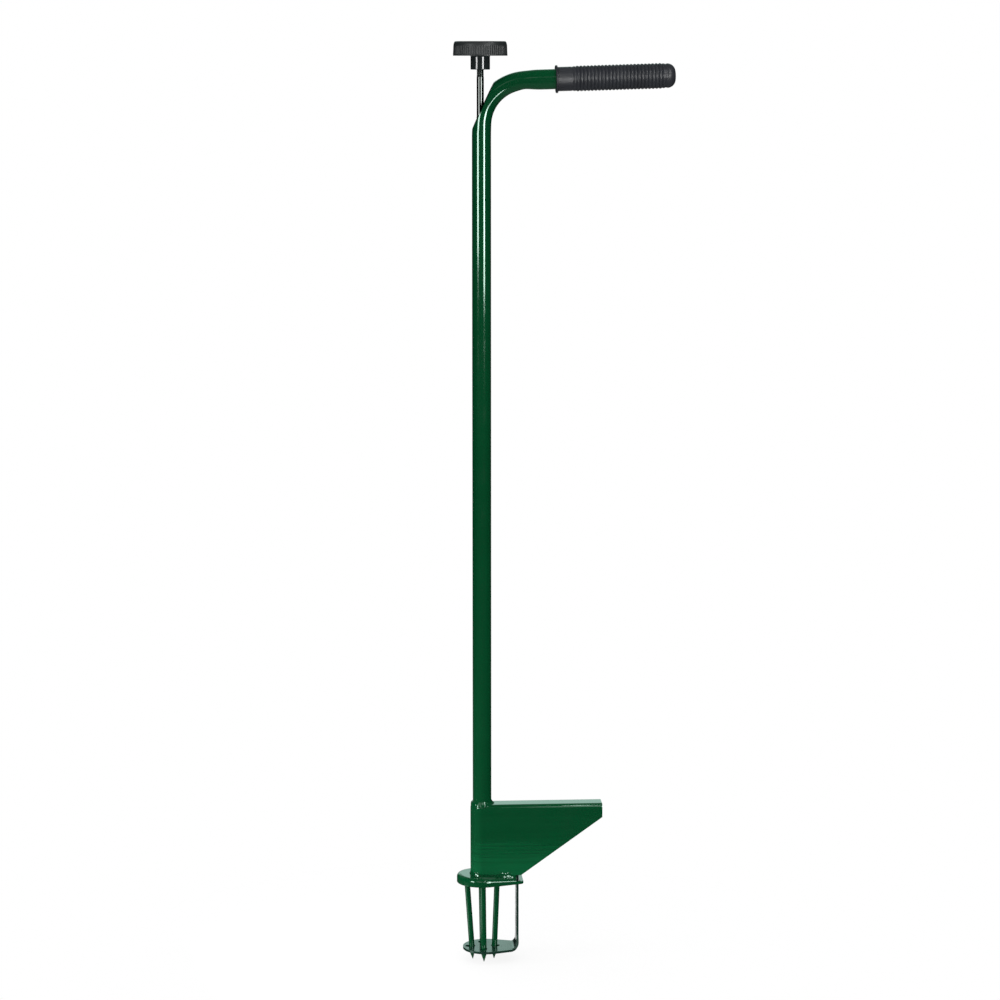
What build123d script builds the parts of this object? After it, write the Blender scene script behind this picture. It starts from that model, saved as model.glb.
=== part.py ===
"""Stand-up weed puller: a bent tube with a foot pedal, a ring of tines and a push-down ejector.

Millimetres. Origin on the tube's axis at the level of the tine tips, +Z up the tube,
+X towards the handle and the pedal.
"""
import math
import os

from build123d import *

# Tube and handle arm
TUBE_DIAMETER = 20.0
TUBE_WALL = 1.5
BEND_CENTRE_HEIGHT = 898.3
BEND_RADIUS = 46.5
BEND_SQUASH = 0.925
BEND_SPREAD = 1.03
BEND_SECTIONS = 7
BEND_EASE = 12.0
ARM_RISE = 1.8
ARM_LENGTH = 151.0

# Flat pressed into the outside of the bend, where the rod goes in
FLAT_DROP = 4.8
FLAT_LEAN = 25.0

# Handle grip
GRIP_START = 32.4
GRIP_WALL = 2.5
GRIP_FLANGE_HEIGHT = 1.95
GRIP_FLANGE_THICKNESS = 2.2
GRIP_COLLAR_WALL = 2.55
GRIP_COLLAR_LENGTH = 18.6
GRIP_RIB_HEIGHT = 0.65
GRIP_RIB_PITCH = 3.76
GRIP_END_RADIUS = 8.5
GRIP_END_WALL = 7.05

# Plunger rod and knob
PLUNGER_OFFSET = -1.2
ROD_DIAMETER = 7.5
THREAD_DEPTH = 0.2
BARE_THREAD = 7.4
KNOB_RISE = 86.9
KNOB_DIAMETER = 56.8
KNOB_THICKNESS = 15.1
KNOB_TOP_ROUND = 3.0
KNOB_BOTTOM_ROUND = 0.8
HUB_DIAMETER = 20.2
HUB_LENGTH = 14.3
INSERT_DIAMETER = 11.0
INSERT_LENGTH = 17.0
INSERT_RECESS = 1.0

# Foot pedal
SOCKET_DEPTH = 9.0
PEDAL_REACH = 129.1
PEDAL_NOSE_HEIGHT = 14.7
PEDAL_HEEL_REACH = 41.45
PEDAL_SHEET = 2.5
PEDAL_FOLD_RADIUS = 4.5
WELD_MARGIN = 0.6
WELD_BEVEL_DEPTH = 1.2

# Tine plate and tines
PLATE_BOTTOM_HEIGHT = 86.2
PLATE_THICKNESS = 9.4
PLATE_END_THICKNESS = 3.2
PLATE_SLOPE = 3.4
PLATE_SLOPE_START = -20.0
PLATE_RADIUS = 27.3
PLATE_REACH = 44.0
PLATE_END_WIDTH = 31.1
PLATE_CORNER_RADIUS = 4.5
PLATE_TOP_ROUND = 4.0
PLATE_BOTTOM_ROUND = 0.8
TINE_DIAMETER = 6.0
TINE_ROOT_RADIUS = 16.2
TINE_TIP_RADIUS = 11.5
TINE_TIP_SHIFT = 1.3
TINE_POINT_LENGTH = 8.5
TINE_POINT_DIAMETER = 0.6

# Ejector and the arm that carries it
EJECTOR_TOP_HEIGHT = 14.3
EJECTOR_SHEET = 2.5
EJECTOR_RADIUS = 25.3
EJECTOR_SHIFT = 4.5
EJECTOR_NECK_WIDTH = 30.0
EJECTOR_BEND_RADIUS = 9.0
LEG_CENTRE = 37.7
LEG_WIDTH = 18.0
LEG_TAPER_HEIGHT = 14.0
ARM_STRIP = 3.0
ARM_STRIP_WIDTH = 16.0
ARM_STRIP_BEND_RADIUS = 5.5
LEG_MARGIN = 7.9

# Fasteners
NUT_FLATS = 12.0
NUT_HEIGHT = 5.5
ROD_WASHER_DIAMETER = 15.0
ROD_WASHER_THICKNESS = 1.4
ROD_TAIL = 0.8
SCREW_DIAMETER = 4.0
SCREW_SPACING = 8.2
SCREW_HEAD_DIAMETER = 7.0
SCREW_HEAD_HEIGHT = 2.6
SCREW_TAIL = 1.5
SCREW_NUT_FLATS = 7.0
SCREW_NUT_HEIGHT = 3.2
SCREW_WASHER_THICKNESS = 0.8
SCREW_WASHER_DIAMETER = 7.4

# Guide bush
BUSH_LENGTH = 20.0

# Weld beads
TUBE_WELD_RISE = 3.6
TUBE_WELD_WIDTH = 3.4
TUBE_WELD_DROP = 2.4
TUBE_WELD_BULGE = 0.6
PEDAL_WELD_HEIGHT = 3.8
PEDAL_WELD_DROP = 4.0
PEDAL_WELD_WIDTH = 3.4
PEDAL_WELD_TAPER = 20.0
PEDAL_WELD_REACH = 34.5
TINE_WELD_HEIGHT = 2.8
TINE_WELD_WIDTH = 2.2
TINE_WELD_TOE = 0.5

# Clearances
SOCKET_CLEARANCE = 0.05
GRIP_CLEARANCE = 0.05
ROD_CLEARANCE = 0.3
ROD_HOLE_CLEARANCE = 0.7
THREAD_CLEARANCE = 0.05
HOLE_CLEARANCE = 0.25
TINE_CLEARANCE = 0.8
SLOT_CLEARANCE = 0.6
SLOT_END_CLEARANCE = 4.0
STOP_GAP = 0.4
HEADROOM = 1.0

# Levels and places that follow from the sizes above
stroke = PLATE_BOTTOM_HEIGHT - EJECTOR_TOP_HEIGHT - LEG_TAPER_HEIGHT - LEG_MARGIN
plate_top = PLATE_BOTTOM_HEIGHT + PLATE_THICKNESS
rod_foot = plate_top + STOP_GAP
lower_nut_bottom = rod_foot + ROD_TAIL
lower_washer_bottom = lower_nut_bottom + NUT_HEIGHT
arm_bottom = lower_washer_bottom + ROD_WASHER_THICKNESS
arm_top = arm_bottom + ARM_STRIP
upper_nut_bottom = arm_top + ROD_WASHER_THICKNESS
upper_nut_top = upper_nut_bottom + NUT_HEIGHT
tube_foot = upper_nut_top + stroke + STOP_GAP
pedal_bottom = plate_top
pedal_top = tube_foot + SOCKET_DEPTH
leg_top = pedal_top - PEDAL_SHEET - stroke - HEADROOM
leg_inside = LEG_CENTRE - EJECTOR_SHEET / 2
leg_outside = LEG_CENTRE + EJECTOR_SHEET / 2
ejector_bottom = EJECTOR_TOP_HEIGHT - EJECTOR_SHEET
knob_top = BEND_CENTRE_HEIGHT + KNOB_RISE
knob_bottom = knob_top - KNOB_THICKNESS
hub_bottom = knob_bottom - HUB_LENGTH
insert_bottom = hub_bottom + INSERT_RECESS
thread_bottom = hub_bottom - BARE_THREAD
flat_start = BEND_CENTRE_HEIGHT - FLAT_DROP
thread_radius = ROD_DIAMETER / 2 - THREAD_DEPTH
tube_radius = TUBE_DIAMETER / 2
bore_radius = tube_radius - TUBE_WALL
wrap_inside = tube_radius + SOCKET_CLEARANCE
wrap_outside = wrap_inside + PEDAL_SHEET
weld_edge = tube_radius + TUBE_WELD_WIDTH
screw_height = (arm_top + ARM_STRIP_BEND_RADIUS - ARM_STRIP + leg_top) / 2

tine_turns = {"right": 0.0, "back": 90.0, "left": 180.0, "front": 270.0}


def save(piece, name):
    """Label a finished piece and write its own file."""
    piece.label = name
    export_step(piece, f"parts/{name}.step")


def bend_plane(turn):
    """Plane square to the tube's centre line after the bend has turned through an angle."""
    side = math.radians(turn)
    centre = Vector(BEND_RADIUS, 0, BEND_CENTRE_HEIGHT)
    spoke = Vector(-math.cos(side), 0, math.sin(side))
    heading = Vector(math.sin(side), 0, math.cos(side))
    return Plane(origin=centre + spoke * BEND_RADIUS, x_dir=(0, 1, 0), z_dir=heading)


bend_turn = 90.0 - ARM_RISE
arm_plane = bend_plane(bend_turn)
flat_heading = Vector(math.sin(math.radians(FLAT_LEAN)), 0, math.cos(math.radians(FLAT_LEAN)))
flat_normal = Vector(-flat_heading.Z, 0, flat_heading.X)
flat_plane = Plane(origin=(-tube_radius, 0, flat_start), x_dir=(0, 1, 0), z_dir=flat_normal)


def bent_bar(inset):
    """The tube's outer form, or its bore when inset by the wall: upright, squashed bend, arm and flat."""
    radius = tube_radius - inset
    with BuildPart() as bar:
        with BuildSketch(Plane.XY.offset(tube_foot)):
            Circle(radius)
        extrude(amount=BEND_CENTRE_HEIGHT - BEND_EASE - tube_foot)
        with BuildSketch(Plane.XY.offset(BEND_CENTRE_HEIGHT - BEND_EASE)):
            Ellipse(radius, radius)
        for step in range(BEND_SECTIONS):
            with BuildSketch(bend_plane(bend_turn * (step + 0.5) / BEND_SECTIONS)):
                Ellipse(tube_radius * BEND_SPREAD - inset, tube_radius * BEND_SQUASH - inset)
        with BuildSketch(arm_plane.offset(BEND_EASE)):
            Ellipse(radius, radius)
        loft()
        with BuildSketch(arm_plane.offset(BEND_EASE)):
            Circle(radius)
        extrude(amount=ARM_LENGTH - BEND_EASE)
        split(bisect_by=flat_plane.offset(-inset), keep=Keep.BOTTOM)
    return bar.part


def hex_nut(plane, flats, height, bore, places):
    """Hexagon nuts standing on a plane at the given places."""
    with BuildPart() as nut:
        with BuildSketch(plane):
            with Locations(*places):
                RegularPolygon(flats / 2, 6, major_radius=False, rotation=30)
                Circle(bore, mode=Mode.SUBTRACT)
        extrude(amount=height)
    return nut.part


def washer(plane, diameter, height, bore, places):
    """Plain washers lying on a plane at the given places."""
    with BuildPart() as ring:
        with BuildSketch(plane):
            with Locations(*places):
                Circle(diameter / 2)
                Circle(bore, mode=Mode.SUBTRACT)
        extrude(amount=height)
    return ring.part


def pedal_plan(half_width, reach):
    """Plan of the pedal: a half circle round the tube and two parallel sides."""
    with BuildSketch() as plan:
        with BuildLine():
            Polyline((0, -half_width), (reach, -half_width), (reach, half_width), (0, half_width))
            ThreePointArc((0, half_width), (-half_width, 0), (0, -half_width))
        make_face()
    return plan.sketch


def bent_strip(start, outside, bottom, sheet, bend_radius):
    """Side view of a strip that runs flat from a start and bends up to the top of the ejector's leg."""
    with BuildSketch() as strip:
        with BuildLine():
            Polyline(
                (start, bottom),
                (outside, bottom),
                (outside, leg_top),
                (outside - sheet, leg_top),
                (outside - sheet, bottom + sheet),
                (start, bottom + sheet),
                close=True,
            )
        make_face()
        fillet(strip.vertices().group_by(Axis.X)[-2].sort_by(Axis.Y)[0], bend_radius - sheet)
        fillet(strip.vertices().group_by(Axis.X)[-1].sort_by(Axis.Y)[0], bend_radius)
    return strip.sketch


def tine_place(turn, height):
    """Where the centre line of the tine at a turn round the ring stands at a height."""
    share = height / PLATE_BOTTOM_HEIGHT
    radius = TINE_TIP_RADIUS + (TINE_ROOT_RADIUS - TINE_TIP_RADIUS) * share
    angle = math.radians(turn)
    shift = TINE_TIP_SHIFT * (1 - share)
    return Vector(shift + radius * math.cos(angle), radius * math.sin(angle), height)


os.makedirs("parts", exist_ok=True)

# Main tube: bent bar less its bore, with a hole for the rod through the flat
with BuildPart() as main_tube:
    add(bent_bar(0.0))
    add(bent_bar(TUBE_WALL), mode=Mode.SUBTRACT)
    with BuildSketch(Plane.XY.offset(flat_start)):
        with Locations((PLUNGER_OFFSET, 0)):
            Circle(ROD_DIAMETER / 2 + ROD_HOLE_CLEARANCE)
    extrude(amount=knob_top - flat_start, mode=Mode.SUBTRACT)
save(main_tube.part, "main_tube")

# Handle grip: flange, plain collar, ribs and a round closed end, turned about the arm
grip_plane = arm_plane.offset(GRIP_START)
grip_bore = tube_radius + GRIP_CLEARANCE
grip_bore_depth = ARM_LENGTH - GRIP_START + GRIP_CLEARANCE
grip_ribs_start = GRIP_FLANGE_THICKNESS + GRIP_COLLAR_LENGTH
grip_length = grip_bore_depth + GRIP_END_WALL
grip_ribs = int((grip_length - GRIP_END_RADIUS - grip_ribs_start) / GRIP_RIB_PITCH)
grip_ribs_end = grip_ribs_start + grip_ribs * GRIP_RIB_PITCH
grip_collar = grip_bore + GRIP_COLLAR_WALL
grip_flange = grip_collar + GRIP_FLANGE_HEIGHT
grip_valley = grip_bore + GRIP_WALL
grip_crest = grip_valley + GRIP_RIB_HEIGHT
grip_side = Plane(origin=grip_plane.origin, x_dir=grip_plane.z_dir, z_dir=grip_plane.x_dir)
with BuildPart() as handle_grip:
    with BuildSketch(grip_side):
        with BuildLine():
            Polyline(
                (grip_ribs_start, grip_valley),
                (grip_ribs_start, grip_collar),
                (GRIP_FLANGE_THICKNESS, grip_collar),
                (GRIP_FLANGE_THICKNESS, grip_flange),
                (0, grip_flange),
                (0, grip_bore),
                (grip_bore_depth, grip_bore),
                (grip_bore_depth, 0),
                (grip_length, 0),
                (grip_length, grip_valley - GRIP_END_RADIUS),
            )
            RadiusArc(
                (grip_length, grip_valley - GRIP_END_RADIUS),
                (grip_length - GRIP_END_RADIUS, grip_valley),
                -GRIP_END_RADIUS,
            )
            Line(
                (grip_length - GRIP_END_RADIUS, grip_valley),
                (grip_ribs_end, grip_valley),
            )
            for rib in range(grip_ribs):
                near = grip_ribs_start + rib * GRIP_RIB_PITCH
                ThreePointArc(
                    (near, grip_valley),
                    (near + GRIP_RIB_PITCH / 2, grip_crest),
                    (near + GRIP_RIB_PITCH, grip_valley),
                )
        make_face()
    revolve(axis=Axis(grip_plane.origin, grip_plane.z_dir))
save(handle_grip.part, "handle_grip")

# Foot pedal: folded shell round the tube, with the slanted lower edge and a bevelled hole for the tube
with BuildPart() as pedal_block:
    with BuildSketch(Plane.XY.offset(pedal_bottom)):
        add(pedal_plan(wrap_outside, PEDAL_REACH))
    extrude(amount=pedal_top - pedal_bottom)
    top_rim = pedal_block.faces().sort_by(Axis.Z)[-1].edges()
    fillet(top_rim.filter_by(Axis.Y, reverse=True), PEDAL_FOLD_RADIUS)
with BuildPart() as pedal_hollow:
    with BuildSketch(Plane.XY.offset(pedal_bottom)):
        add(pedal_plan(wrap_inside, PEDAL_REACH + PEDAL_SHEET))
    extrude(amount=pedal_top - PEDAL_SHEET - pedal_bottom)
    top_rim = pedal_hollow.faces().sort_by(Axis.Z)[-1].edges()
    fillet(top_rim.filter_by(Axis.Y, reverse=True), PEDAL_FOLD_RADIUS - PEDAL_SHEET)
with BuildPart() as foot_pedal:
    add(pedal_block.part)
    add(pedal_hollow.part, mode=Mode.SUBTRACT)
    with BuildSketch(Plane.XZ):
        with BuildLine():
            Polyline(
                (PEDAL_HEEL_REACH, pedal_bottom),
                (PEDAL_REACH, pedal_top - PEDAL_NOSE_HEIGHT),
                (PEDAL_REACH, pedal_bottom),
                close=True,
            )
        make_face()
    extrude(amount=wrap_outside, both=True, mode=Mode.SUBTRACT)
    with BuildSketch(Plane.XY.offset(pedal_top - WELD_BEVEL_DEPTH)):
        Circle(wrap_inside)
    with BuildSketch(Plane.XY.offset(pedal_top)):
        Circle(weld_edge + WELD_MARGIN)
    loft(mode=Mode.SUBTRACT)
    with BuildSketch(Plane.XY.offset(tube_foot)):
        Circle(wrap_inside)
    extrude(amount=pedal_top - tube_foot, mode=Mode.SUBTRACT)
save(foot_pedal.part, "foot_pedal")

# Tine plate: round and thick at the tines, its top sloping down to a thin end with a slot for the
# ejector's leg, and a level pad under the pedal
plate_end = PLATE_REACH - PLATE_CORNER_RADIUS
corner = PLATE_END_WIDTH / 2 - PLATE_CORNER_RADIUS
slot_inside = leg_inside - SLOT_CLEARANCE
slope = math.radians(PLATE_SLOPE)
slope_plane = Plane(
    origin=(PLATE_SLOPE_START, 0, plate_top), x_dir=(0, 1, 0), z_dir=(math.sin(slope), 0, math.cos(slope))
)
with BuildPart() as tine_plate:
    with BuildSketch(Plane.XY.offset(PLATE_BOTTOM_HEIGHT)):
        Circle(PLATE_RADIUS)
        with Locations((plate_end, corner), (plate_end, -corner)):
            Circle(PLATE_CORNER_RADIUS)
        make_hull()
    extrude(amount=2 * PLATE_THICKNESS)
    split(bisect_by=slope_plane, keep=Keep.BOTTOM)
    fillet(tine_plate.faces().sort_by(Axis.Z)[-1].edges(), PLATE_TOP_ROUND)
    fillet(tine_plate.faces().sort_by(Axis.Z)[0].edges(), PLATE_BOTTOM_ROUND)
    with BuildSketch(Plane.XY.offset(PLATE_BOTTOM_HEIGHT + PLATE_END_THICKNESS)):
        with Locations((slot_inside, 0)):
            Rectangle(PLATE_REACH, 2 * PLATE_RADIUS, align=(Align.MIN, Align.CENTER))
    extrude(amount=PLATE_THICKNESS, mode=Mode.SUBTRACT)
    with BuildSketch(Plane.XY.offset(plate_top)):
        add(pedal_plan(wrap_outside, slot_inside))
    extrude(amount=PLATE_END_THICKNESS - PLATE_THICKNESS)
    with BuildSketch(Plane.XY.offset(PLATE_BOTTOM_HEIGHT)):
        with Locations((LEG_CENTRE, 0)):
            Rectangle(EJECTOR_SHEET + 2 * SLOT_CLEARANCE, LEG_WIDTH + 2 * SLOT_END_CLEARANCE)
    extrude(amount=PLATE_THICKNESS, mode=Mode.SUBTRACT)
save(tine_plate.part, "tine_plate")

# Tines: leaning bars with conical points, each cut off square under the plate
tines = {}
for side, turn in tine_turns.items():
    tip = tine_place(turn, 0.0)
    root = tine_place(turn, PLATE_BOTTOM_HEIGHT)
    tine_line = Plane(origin=tip, z_dir=root - tip)
    with BuildPart(tine_line) as tine:
        Cone(
            TINE_POINT_DIAMETER / 2,
            TINE_DIAMETER / 2,
            TINE_POINT_LENGTH,
            align=(Align.CENTER, Align.CENTER, Align.MIN),
        )
        with Locations((0, 0, TINE_POINT_LENGTH)):
            Cylinder(TINE_DIAMETER / 2, plate_top, align=(Align.CENTER, Align.CENTER, Align.MIN))
        split(bisect_by=Plane.XY.offset(PLATE_BOTTOM_HEIGHT), keep=Keep.BOTTOM)
    tines[side] = tine.part
    save(tine.part, f"tine_{side}")

# Beads round the roots of the tines
with BuildPart() as tine_welds:
    for turn in tine_turns.values():
        root = tine_place(turn, PLATE_BOTTOM_HEIGHT)
        with Locations(root):
            Cone(
                TINE_DIAMETER / 2 + TINE_WELD_TOE,
                TINE_DIAMETER / 2 + TINE_WELD_WIDTH,
                TINE_WELD_HEIGHT,
                align=(Align.CENTER, Align.CENTER, Align.MAX),
            )
    for bar in tines.values():
        add(bar, mode=Mode.SUBTRACT)
save(tine_welds.part, "tine_welds")

# Bead round the tube on top of the pedal
weld_crest = pedal_top + TUBE_WELD_RISE
weld_bulge = (
    tube_radius + TUBE_WELD_BULGE * TUBE_WELD_WIDTH,
    pedal_top + TUBE_WELD_BULGE * TUBE_WELD_RISE,
)
with BuildPart() as tube_weld:
    with BuildSketch(Plane.XZ):
        with BuildLine():
            Polyline(
                (tube_radius, weld_crest),
                (tube_radius, pedal_top - WELD_BEVEL_DEPTH),
                (wrap_outside, pedal_top - TUBE_WELD_DROP),
                (weld_edge, pedal_top),
            )
            ThreePointArc((weld_edge, pedal_top), weld_bulge, (tube_radius, weld_crest))
        make_face()
    revolve(axis=Axis.Z)
    add(foot_pedal.part, mode=Mode.SUBTRACT)
    add(pedal_hollow.part, mode=Mode.SUBTRACT)
save(tube_weld.part, "tube_weld")

# Bead round the pedal's foot on the tine plate
with BuildPart() as pedal_weld:
    with BuildSketch(Plane.XY.offset(plate_top - PEDAL_WELD_DROP)):
        add(pedal_plan(wrap_outside + PEDAL_WELD_WIDTH, PEDAL_WELD_REACH))
    extrude(amount=PEDAL_WELD_DROP + PEDAL_WELD_HEIGHT, taper=PEDAL_WELD_TAPER)
    add(tine_plate.part, mode=Mode.SUBTRACT)
    add(pedal_block.part, mode=Mode.SUBTRACT)
save(pedal_weld.part, "pedal_weld")

# Guide bush: plug in the foot of the tube with a hole for the rod
with BuildPart() as rod_guide_bush:
    with BuildSketch(Plane.XY.offset(tube_foot)):
        Circle(bore_radius - SOCKET_CLEARANCE)
        with Locations((PLUNGER_OFFSET, 0)):
            Circle(ROD_DIAMETER / 2 + ROD_CLEARANCE, mode=Mode.SUBTRACT)
    extrude(amount=BUSH_LENGTH)
save(rod_guide_bush.part, "rod_guide_bush")

# Plunger rod: plain rod with a cut thread at each end
rod_axis = Plane(origin=(PLUNGER_OFFSET, 0, 0))
insert_top = insert_bottom + INSERT_LENGTH
with BuildPart() as plunger_rod:
    with BuildSketch(rod_axis.offset(rod_foot)):
        Circle(thread_radius)
    extrude(amount=insert_top - rod_foot)
    with BuildSketch(rod_axis.offset(upper_nut_top)):
        Circle(ROD_DIAMETER / 2)
    extrude(amount=thread_bottom - upper_nut_top)
save(plunger_rod.part, "plunger_rod")

# Knob: thick rounded disc on a hub, with a blind hole for the insert
with BuildPart() as plunger_knob:
    with BuildSketch(rod_axis.offset(knob_bottom)):
        Circle(KNOB_DIAMETER / 2)
    extrude(amount=KNOB_THICKNESS)
    fillet(plunger_knob.faces().sort_by(Axis.Z)[-1].edges(), KNOB_TOP_ROUND)
    fillet(plunger_knob.faces().sort_by(Axis.Z)[0].edges(), KNOB_BOTTOM_ROUND)
    with BuildSketch(rod_axis.offset(hub_bottom)):
        Circle(HUB_DIAMETER / 2)
    extrude(amount=HUB_LENGTH)
    with BuildSketch(rod_axis.offset(hub_bottom)):
        Circle(thread_radius + HOLE_CLEARANCE)
    extrude(amount=INSERT_RECESS, mode=Mode.SUBTRACT)
    with BuildSketch(rod_axis.offset(insert_bottom)):
        Circle(INSERT_DIAMETER / 2)
    extrude(amount=INSERT_LENGTH, mode=Mode.SUBTRACT)
save(plunger_knob.part, "plunger_knob")

# Threaded insert moulded into the knob
with BuildPart() as knob_insert:
    with BuildSketch(rod_axis.offset(insert_bottom)):
        Circle(INSERT_DIAMETER / 2)
        Circle(thread_radius + THREAD_CLEARANCE, mode=Mode.SUBTRACT)
    extrude(amount=INSERT_LENGTH)
save(knob_insert.part, "knob_insert")

# Ejector: bent strip whose foot widens into a disc, with slots that follow the leaning tines
ejector_middle = EJECTOR_TOP_HEIGHT - EJECTOR_SHEET / 2
screw_places = [(-SCREW_SPACING / 2, screw_height), (SCREW_SPACING / 2, screw_height)]
with BuildPart() as ejector:
    with BuildSketch(Plane.XZ):
        add(bent_strip(-EJECTOR_RADIUS, leg_outside, ejector_bottom, EJECTOR_SHEET, EJECTOR_BEND_RADIUS))
    extrude(amount=EJECTOR_RADIUS, both=True)
    with BuildSketch(Plane.XY.offset(ejector_bottom)):
        with Locations((EJECTOR_SHIFT, 0)):
            Circle(EJECTOR_RADIUS)
        with Locations((LEG_CENTRE, 0)):
            Rectangle(EJECTOR_SHEET, EJECTOR_NECK_WIDTH)
        make_hull()
    extrude(amount=leg_top - ejector_bottom, mode=Mode.INTERSECT)
    with BuildSketch(Plane.YZ):
        with BuildLine():
            Polyline(
                (0, ejector_bottom),
                (EJECTOR_RADIUS, ejector_bottom),
                (EJECTOR_RADIUS, EJECTOR_TOP_HEIGHT),
                (EJECTOR_NECK_WIDTH / 2, EJECTOR_TOP_HEIGHT),
                (LEG_WIDTH / 2, EJECTOR_TOP_HEIGHT + LEG_TAPER_HEIGHT),
                (LEG_WIDTH / 2, leg_top),
                (0, leg_top),
            )
            mirror(about=Plane.YZ)
        make_face()
    extrude(amount=leg_outside, both=True, mode=Mode.INTERSECT)
    with BuildSketch(Plane.XY.offset(ejector_bottom)):
        for turn in tine_turns.values():
            near = tine_place(turn, ejector_middle)
            far = tine_place(turn, ejector_middle + stroke)
            way = Vector(far.X - near.X, far.Y - near.Y, 0)
            with Locations(((near.X + far.X) / 2, (near.Y + far.Y) / 2)):
                SlotCenterToCenter(
                    way.length,
                    TINE_DIAMETER + 2 * TINE_CLEARANCE,
                    rotation=math.degrees(math.atan2(way.Y, way.X)),
                )
    extrude(amount=EJECTOR_SHEET, mode=Mode.SUBTRACT)
    with BuildSketch(Plane.YZ.offset(leg_inside)):
        with Locations(*screw_places):
            Circle(SCREW_DIAMETER / 2 + HOLE_CLEARANCE)
    extrude(amount=EJECTOR_SHEET, mode=Mode.SUBTRACT)
save(ejector.part, "ejector")

# Link arm: bent strip from the rod to the inside of the ejector's leg
arm_end = PLUNGER_OFFSET - ARM_STRIP_WIDTH / 2
with BuildPart() as link_arm:
    with BuildSketch(Plane.XZ):
        add(bent_strip(arm_end, leg_inside, arm_bottom, ARM_STRIP, ARM_STRIP_BEND_RADIUS))
    extrude(amount=ARM_STRIP_WIDTH / 2, both=True)
    with BuildSketch(Plane.XY.offset(arm_bottom)):
        with Locations((PLUNGER_OFFSET, 0)):
            Circle(ARM_STRIP_WIDTH / 2)
        with Locations((leg_inside - ARM_STRIP / 2, 0)):
            Rectangle(ARM_STRIP, ARM_STRIP_WIDTH)
        make_hull()
    extrude(amount=leg_top - arm_bottom, mode=Mode.INTERSECT)
    with BuildSketch(rod_axis.offset(arm_bottom)):
        Circle(thread_radius + HOLE_CLEARANCE)
    extrude(amount=ARM_STRIP, mode=Mode.SUBTRACT)
    with BuildSketch(Plane.YZ.offset(leg_inside - ARM_STRIP)):
        with Locations(*screw_places):
            Circle(SCREW_DIAMETER / 2 + HOLE_CLEARANCE)
    extrude(amount=ARM_STRIP, mode=Mode.SUBTRACT)
save(link_arm.part, "link_arm")

# Nuts and washers that clamp the arm on the rod
thread_bore = thread_radius + THREAD_CLEARANCE
washer_bore = thread_radius + HOLE_CLEARANCE
on_rod = [(0, 0)]
for level, name in ((lower_nut_bottom, "arm_nut_lower"), (upper_nut_bottom, "arm_nut_upper")):
    save(hex_nut(rod_axis.offset(level), NUT_FLATS, NUT_HEIGHT, thread_bore, on_rod), name)
for level, name in ((lower_washer_bottom, "arm_washer_lower"), (arm_top, "arm_washer_upper")):
    save(washer(rod_axis.offset(level), ROD_WASHER_DIAMETER, ROD_WASHER_THICKNESS, washer_bore, on_rod), name)

# Screws, washers and nuts that fasten the leg to the arm
leg_washer_face = leg_inside - ARM_STRIP - SCREW_WASHER_THICKNESS
leg_nut_face = leg_washer_face - SCREW_NUT_HEIGHT
screw_end = leg_nut_face - SCREW_TAIL
with BuildPart() as leg_screws:
    with BuildSketch(Plane.YZ.offset(leg_outside)):
        with Locations(*screw_places):
            Circle(SCREW_HEAD_DIAMETER / 2)
    extrude(amount=SCREW_HEAD_HEIGHT)
    fillet(leg_screws.faces().group_by(Axis.X)[-1].edges(), SCREW_HEAD_HEIGHT / 2)
    with BuildSketch(Plane.YZ.offset(screw_end)):
        with Locations(*screw_places):
            Circle(SCREW_DIAMETER / 2)
    extrude(amount=leg_outside - screw_end)
save(leg_screws.part, "leg_screws")
screw_bore = SCREW_DIAMETER / 2 + THREAD_CLEARANCE
nut_face = Plane.YZ.offset(leg_nut_face)
save(hex_nut(nut_face, SCREW_NUT_FLATS, SCREW_NUT_HEIGHT, screw_bore, screw_places), "leg_nuts")
save(
    washer(
        Plane.YZ.offset(leg_washer_face),
        SCREW_WASHER_DIAMETER,
        SCREW_WASHER_THICKNESS,
        SCREW_DIAMETER / 2 + HOLE_CLEARANCE,
        screw_places,
    ),
    "leg_washers",
)
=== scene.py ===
import math

import bpy
import numpy as np
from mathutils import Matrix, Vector


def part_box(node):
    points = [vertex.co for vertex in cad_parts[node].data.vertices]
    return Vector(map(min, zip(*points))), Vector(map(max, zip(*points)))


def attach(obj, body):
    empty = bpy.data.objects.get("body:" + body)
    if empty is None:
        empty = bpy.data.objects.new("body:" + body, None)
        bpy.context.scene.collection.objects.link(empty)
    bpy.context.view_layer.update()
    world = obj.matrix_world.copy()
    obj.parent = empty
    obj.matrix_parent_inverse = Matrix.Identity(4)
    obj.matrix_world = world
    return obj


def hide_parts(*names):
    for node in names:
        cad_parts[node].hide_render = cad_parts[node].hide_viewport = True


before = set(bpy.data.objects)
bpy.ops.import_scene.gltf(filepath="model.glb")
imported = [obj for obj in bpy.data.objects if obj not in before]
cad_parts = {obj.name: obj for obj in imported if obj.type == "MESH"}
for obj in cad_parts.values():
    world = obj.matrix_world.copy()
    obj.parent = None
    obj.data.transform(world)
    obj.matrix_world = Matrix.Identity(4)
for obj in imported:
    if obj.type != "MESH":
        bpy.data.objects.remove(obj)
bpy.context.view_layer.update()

bl_info = {
    "name": "Weed puller",
    "version": (1, 0, 0),
    "blender": (4, 5, 0),
    "location": "View3D > Sidebar > Weed puller",
    "description": "Builds the finished surfaces, finishes and studio of a stand-up weed puller "
    "on its CAD frame",
    "category": "Object",
}

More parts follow.
